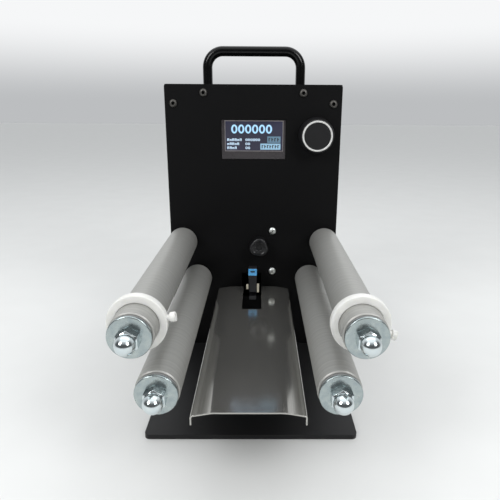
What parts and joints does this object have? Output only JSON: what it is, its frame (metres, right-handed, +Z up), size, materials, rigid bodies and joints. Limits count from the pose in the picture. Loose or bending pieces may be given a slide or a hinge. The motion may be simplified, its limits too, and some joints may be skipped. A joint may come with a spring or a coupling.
{
  "type": "tabletop label counter",
  "caption": "Upright black unit with a display, dial and carrying handle; four cantilevered web rollers, a steel web tray and a sliding fork sensor at its front.",
  "frame": {"origin": "underside of the base plate, below the middle of the front panel's front face", "axes": "+Z up, +X to the right seen from the front, +Y from the front panel towards the back; the rollers point along -Y"},
  "size_m": [0.182, 0.3255, 0.302],
  "materials": {
    "panel_black": "fine-textured matt powder coat",
    "base_black": "fine-textured powder coat, low sheen",
    "handle_black": "gloss black",
    "screw_black": "black oxide",
    "aluminium": "satin, finely turned",
    "zinc": "bright zinc plate",
    "stainless": "bright brushed",
    "steel": "ground",
    "brass": "turned",
    "nylon": "natural white, slightly translucent",
    "bush_grey": "moulded",
    "plastic_black": "moulded, fine grain",
    "sensor_black": "moulded",
    "sensor_blue": "moulded",
    "cream": "moulded",
    "ring_silver": "bright",
    "display": "dark display glass",
    "circuit": "solder mask"
  },
  "bodies": {
    "chassis": {"base_nuts": "zinc", "base_plate": "base_black", "base_screws": "screw_black", "board_pillars": "nylon", "cap_nuts": "zinc", "controller_board": "circuit", "display_board": "circuit", "display_glass": "display", "display_nuts": "zinc", "display_studs": "zinc", "encoder_body": "steel", "encoder_nut": "zinc", "front_panel": "panel_black", "guide_rods": "steel", "handle": "handle_black", "handle_brackets": "zinc", "handle_screws": "zinc", "lead_screw_bushes": "brass", "panel_screws": "screw_black", "power_socket": "plastic_black", "power_switch": "plastic_black", "rear_cover": "panel_black", "roller_bearings": "steel", "roller_shaft_lower_left": "steel", "roller_shaft_lower_right": "steel", "roller_shaft_upper_left": "steel", "roller_shaft_upper_right": "steel", "roller_washers": "zinc", "sensor_frame": "zinc", "sensor_frame_screws": "zinc", "shaft_nuts": "zinc", "shaft_washers": "zinc", "signal_socket": "zinc", "tray_brackets": "base_black", "tray_screws": "zinc", "web_tray": "stainless"},
    "roller_upper_left": {"roller_tube_upper_left": "aluminium", "roller_bushes_upper_left": "bush_grey"},
    "roller_upper_right": {"roller_tube_upper_right": "aluminium", "roller_bushes_upper_right": "bush_grey"},
    "roller_lower_left": {"roller_tube_lower_left": "aluminium", "roller_bushes_lower_left": "bush_grey"},
    "roller_lower_right": {"roller_tube_lower_right": "aluminium", "roller_bushes_lower_right": "bush_grey"},
    "collar_left": {"guide_collar_left": "nylon"},
    "thumb_left": {"thumb_screw_left": "nylon"},
    "collar_right": {"guide_collar_right": "nylon"},
    "thumb_right": {"thumb_screw_right": "nylon"},
    "adjuster": {"adjusting_knob": "plastic_black", "lead_screw": "steel"},
    "sensor": {"sensor_carriage": "plastic_black", "lead_nut": "brass", "sensor_fork": "sensor_black", "sensor_cap": "sensor_blue", "sensor_clips": "cream"},
    "encoder_rotor": {"encoder_wheel": "brass"},
    "dial": {"counter_dial": "plastic_black", "dial_ring": "ring_silver", "encoder_shaft": "steel"},
    "rocker": {"switch_rocker": "plastic_black"}
  },
  "joints": [
    {"name": "upper_left_spin", "type": "hinge", "parent": "chassis", "child": "roller_upper_left", "pos_m": [-0.0695, -0.1, 0.117], "axis": [0, 1, 0], "continuous": true},
    {"name": "upper_right_spin", "type": "hinge", "parent": "chassis", "child": "roller_upper_right", "pos_m": [0.0695, -0.1, 0.117], "axis": [0, 1, 0], "continuous": true},
    {"name": "lower_left_spin", "type": "hinge", "parent": "chassis", "child": "roller_lower_left", "pos_m": [-0.056, -0.1, 0.079], "axis": [0, 1, 0], "continuous": true},
    {"name": "lower_right_spin", "type": "hinge", "parent": "chassis", "child": "roller_lower_right", "pos_m": [0.056, -0.1, 0.079], "axis": [0, 1, 0], "continuous": true},
    {"name": "collar_left_slide", "type": "slide", "parent": "roller_upper_left", "child": "collar_left", "axis": [0, 1, 0], "range_m": [-0.013, 0.18]},
    {"name": "thumb_left_turn", "type": "hinge", "parent": "collar_left", "child": "thumb_left", "pos_m": [-0.0695, -0.193, 0.117], "axis": [0.9848, 0, 0.1736], "range_deg": [-360, 90]},
    {"name": "collar_right_slide", "type": "slide", "parent": "roller_upper_right", "child": "collar_right", "axis": [0, 1, 0], "range_m": [-0.013, 0.18]},
    {"name": "thumb_right_turn", "type": "hinge", "parent": "collar_right", "child": "thumb_right", "pos_m": [0.0695, -0.193, 0.117], "axis": [0.9336, 0, -0.3584], "range_deg": [-360, 90]},
    {"name": "adjuster_turn", "type": "hinge", "parent": "chassis", "child": "adjuster", "pos_m": [0.0055, 0, 0.113], "axis": [0, 1, 0], "range_deg": [-270.5, 1350.5]},
    {"name": "sensor_slide", "type": "slide", "parent": "chassis", "child": "sensor", "axis": [0, -1, 0], "range_m": [-0.006, 0.03]},
    {"name": "dial_turn", "type": "hinge", "parent": "chassis", "child": "encoder_rotor", "pos_m": [0.059, 0, 0.2197], "axis": [0, 1, 0], "continuous": true},
    {"name": "dial_push", "type": "slide", "parent": "encoder_rotor", "child": "dial", "axis": [0, 1, 0], "range_m": [0, 0.0006], "stiffness_N_per_m": 3000, "springref_m": -0.0004},
    {"name": "rocker_tilt", "type": "hinge", "parent": "chassis", "child": "rocker", "pos_m": [0.048, 0.092, 0.044], "axis": [0, 0, 1], "range_deg": [-18, 0]}
  ],
  "couplings": [
    {"joint": "adjuster_turn", "follows": "sensor_slide", "rad_per_m": 785.4}
  ]
}
